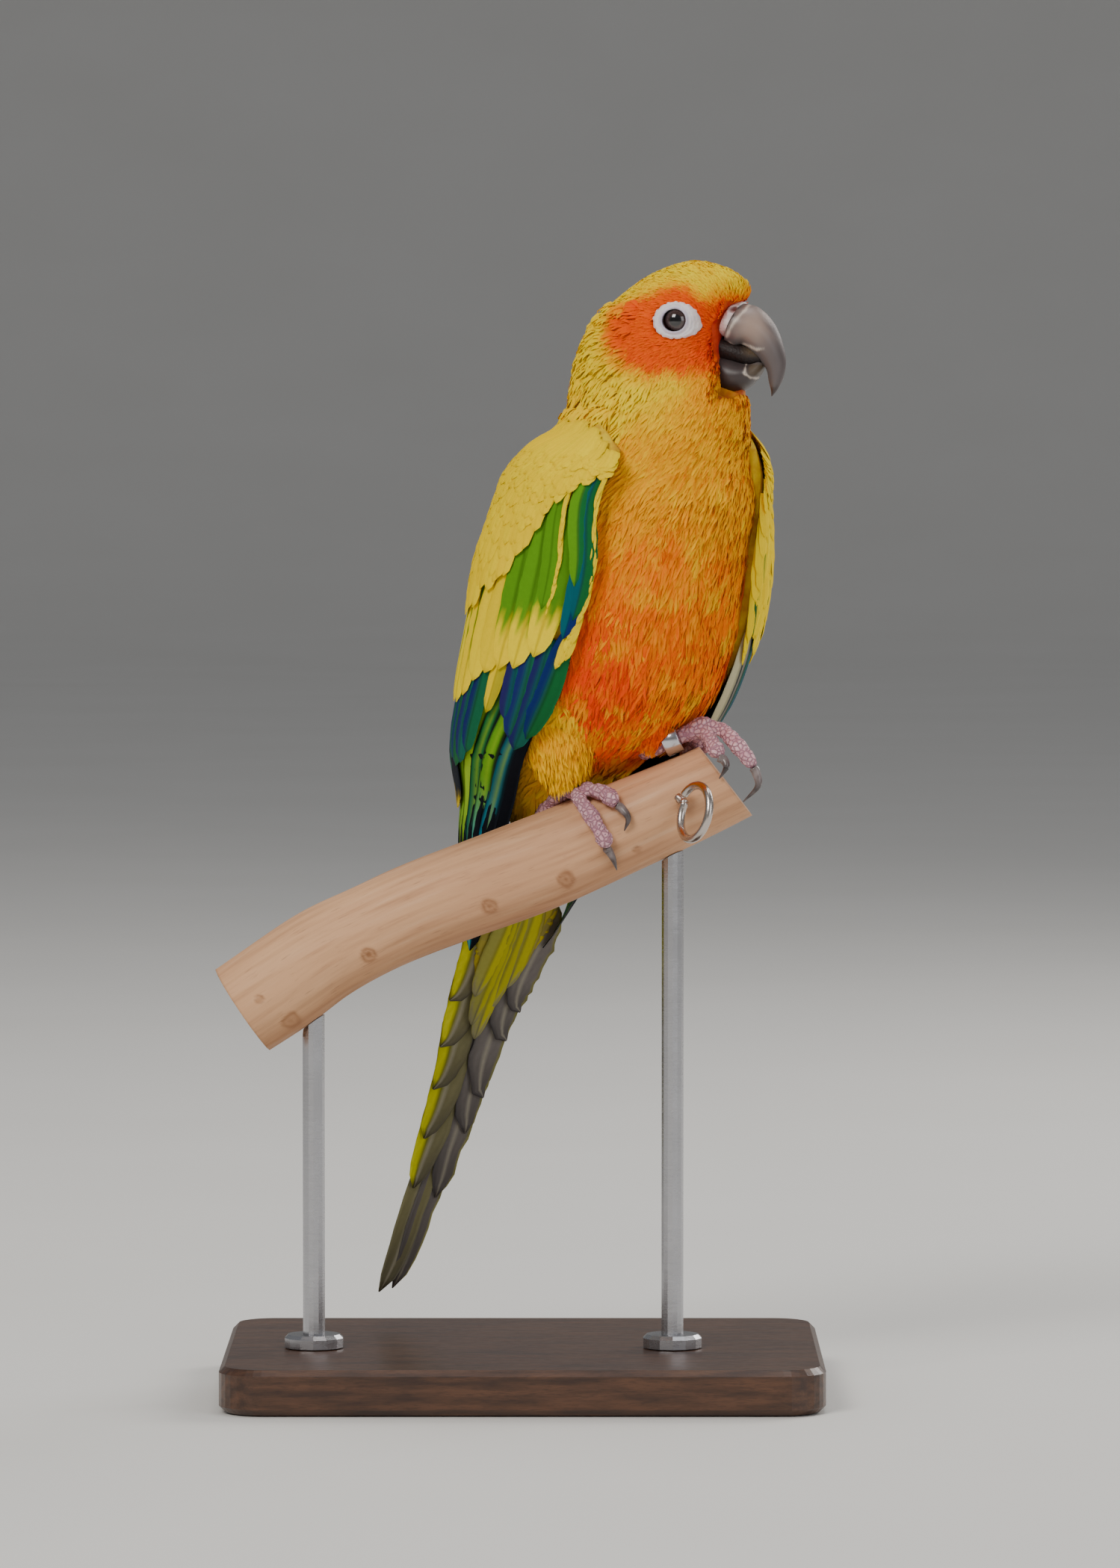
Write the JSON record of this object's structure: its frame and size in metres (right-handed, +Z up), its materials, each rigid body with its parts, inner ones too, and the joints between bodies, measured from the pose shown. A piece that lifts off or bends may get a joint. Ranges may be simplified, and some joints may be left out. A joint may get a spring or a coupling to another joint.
{
  "type": "sun conure",
  "caption": "Life-size still model of a sun conure, a small yellow and orange parrot with green and blue wings, on a cut branch held by a plain display stand.",
  "frame": {"origin": "middle of the underside of the display base, on the surface that the model stands on", "axes": "+Z up; +X towards the side that the bird's bill points to and the branch's raised end; +Y towards the back of the model, where the tail hangs"},
  "size_m": [0.1622, 0.12, 0.3018],
  "materials": {
    "plumage": "soft matt body feathers in yellow and orange",
    "flight_feathers": "smooth satin vanes in yellow, green and blue",
    "skin": "bare scaly pale pink skin",
    "horn": "satin grey horn of the bill and claws",
    "eye": "wet dark brown eye",
    "steel": "bright steel of the band, screw eye and rods",
    "branch": "dry peeled branch, matt",
    "dark_wood": "dark oiled board, satin"
  },
  "bodies": {
    "root": {"head": "plumage", "neck": "plumage", "torso": "plumage", "thigh_right": "plumage", "thigh_left": "plumage", "wing_right": "flight_feathers", "wing_left": "flight_feathers", "tail": "flight_feathers", "foot_right": "skin", "foot_left": "skin", "cere": "skin", "bill_upper": "horn", "bill_lower": "horn", "tongue": "horn", "claw_right_digit_1": "horn", "claw_right_digit_2": "horn", "claw_right_digit_3": "horn", "claw_right_digit_4": "horn", "claw_left_digit_1": "horn", "claw_left_digit_2": "horn", "claw_left_digit_3": "horn", "claw_left_digit_4": "horn", "eye_right": "eye", "eye_left": "eye", "leg_band": "steel", "perch": "branch", "perch_eye": "steel", "stand_base": "dark_wood", "stand_rod_left": "steel", "stand_rod_right": "steel"}
  },
  "joints": []
}
